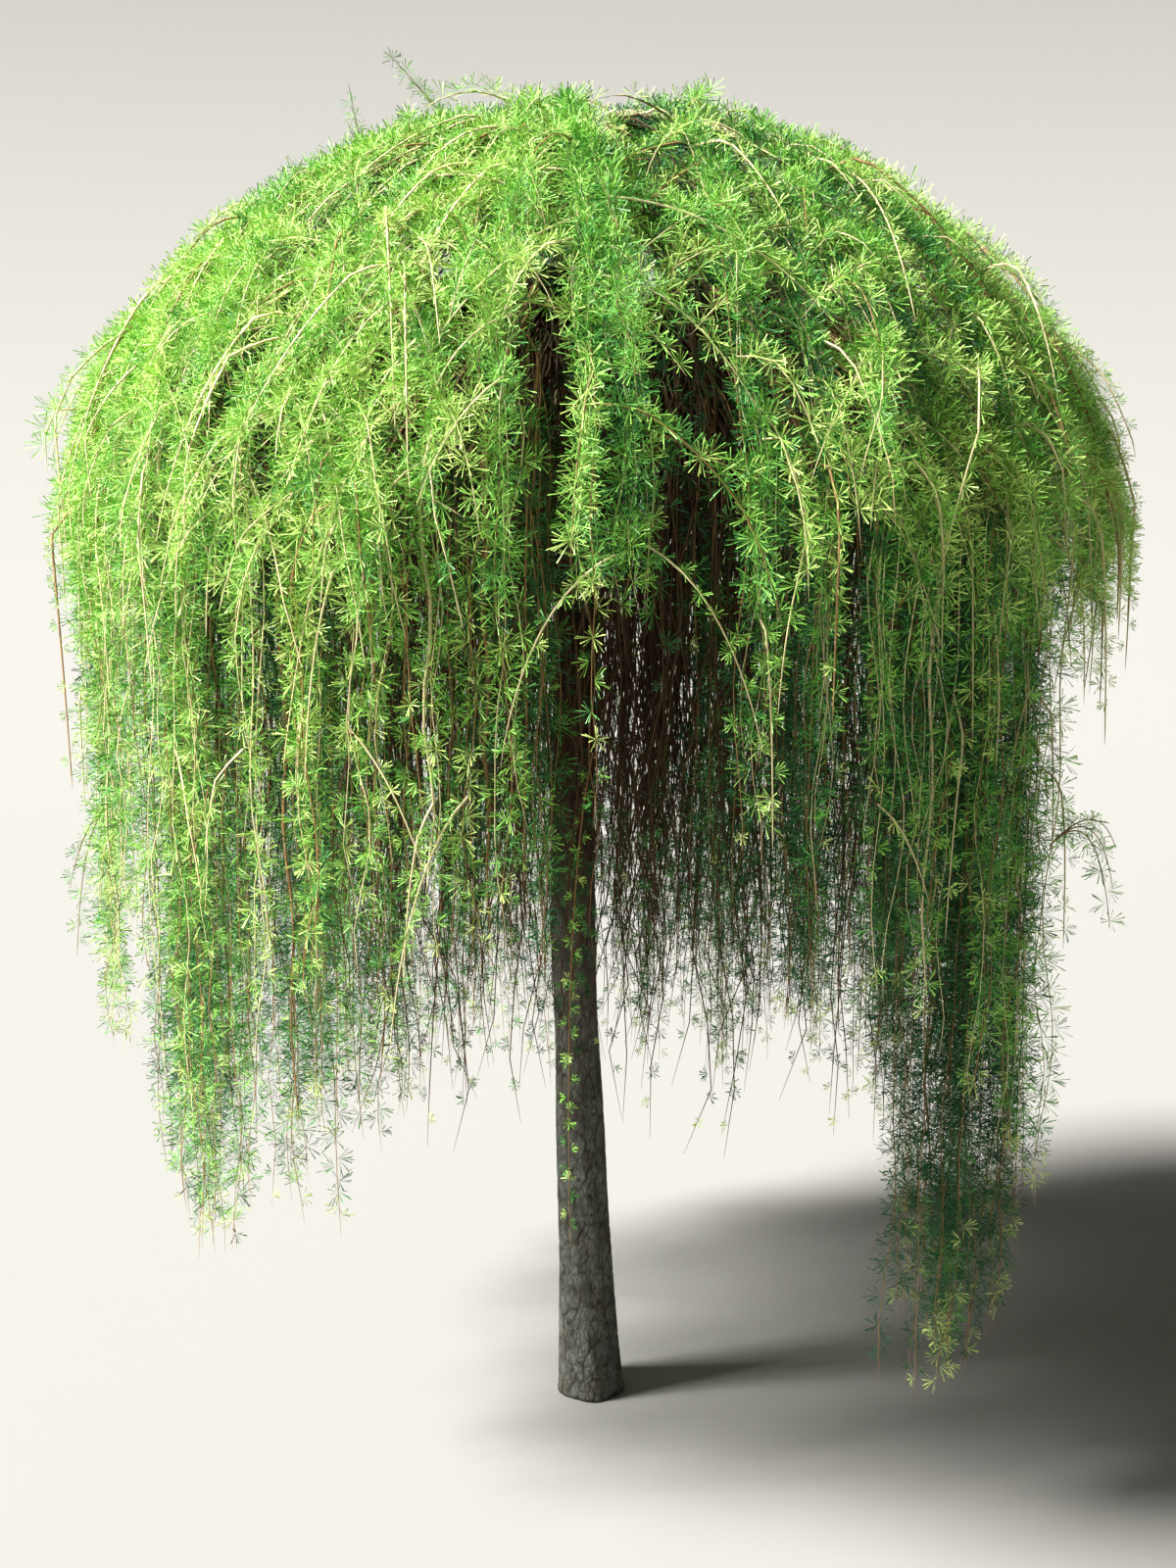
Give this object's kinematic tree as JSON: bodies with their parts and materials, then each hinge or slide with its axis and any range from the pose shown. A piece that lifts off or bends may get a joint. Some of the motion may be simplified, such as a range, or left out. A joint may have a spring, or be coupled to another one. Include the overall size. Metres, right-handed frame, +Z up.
{
  "type": "weeping larch tree",
  "caption": "Weeping larch grafted high on a clear, slightly leaning stem: arching boughs carry an umbrella of needled shoots that hang in long curtains, in fresh spring green.",
  "frame": {"origin": "centre of the trunk's flat foot, at ground level", "axes": "+Z up the trunk, -Y towards the viewer, +X to the viewer's right"},
  "size_m": [1.7477, 1.728, 2.4214],
  "materials": {
    "bark": "grey-brown bark, flaky, with upright cracks",
    "bough_bark": "smoother tan-brown bark of young wood",
    "hanging_needles": "soft matt needles in tufts, mid green, on thin tan twigs",
    "dome_needles": "soft matt needles in tufts, fresh yellow-green, on arching straw-coloured twigs"
  },
  "bodies": {
    "root": {"trunk": "bark", "bough_front": "bough_bark", "bough_front_right": "bough_bark", "bough_right_front": "bough_bark", "bough_right": "bough_bark", "bough_back_right": "bough_bark", "bough_back": "bough_bark", "bough_back_left": "bough_bark", "bough_left": "bough_bark", "bough_left_front": "bough_bark", "bough_front_left": "bough_bark", "upper_bough_front": "bough_bark", "upper_bough_front_right": "bough_bark", "upper_bough_right": "bough_bark", "upper_bough_back_right": "bough_bark", "upper_bough_back_left": "bough_bark", "upper_bough_left": "bough_bark", "upper_bough_front_left": "bough_bark", "curtain_front": "hanging_needles", "curtain_front_right": "hanging_needles", "curtain_right_front": "hanging_needles", "curtain_right": "hanging_needles", "curtain_back_right": "hanging_needles", "curtain_back": "hanging_needles", "curtain_back_left": "hanging_needles", "curtain_left": "hanging_needles", "curtain_left_front": "hanging_needles", "curtain_front_left": "hanging_needles", "mantle_front": "dome_needles", "mantle_front_right": "dome_needles", "mantle_right": "dome_needles", "mantle_back_right": "dome_needles", "mantle_back_left": "dome_needles", "mantle_left": "dome_needles", "mantle_front_left": "dome_needles"}
  },
  "joints": []
}
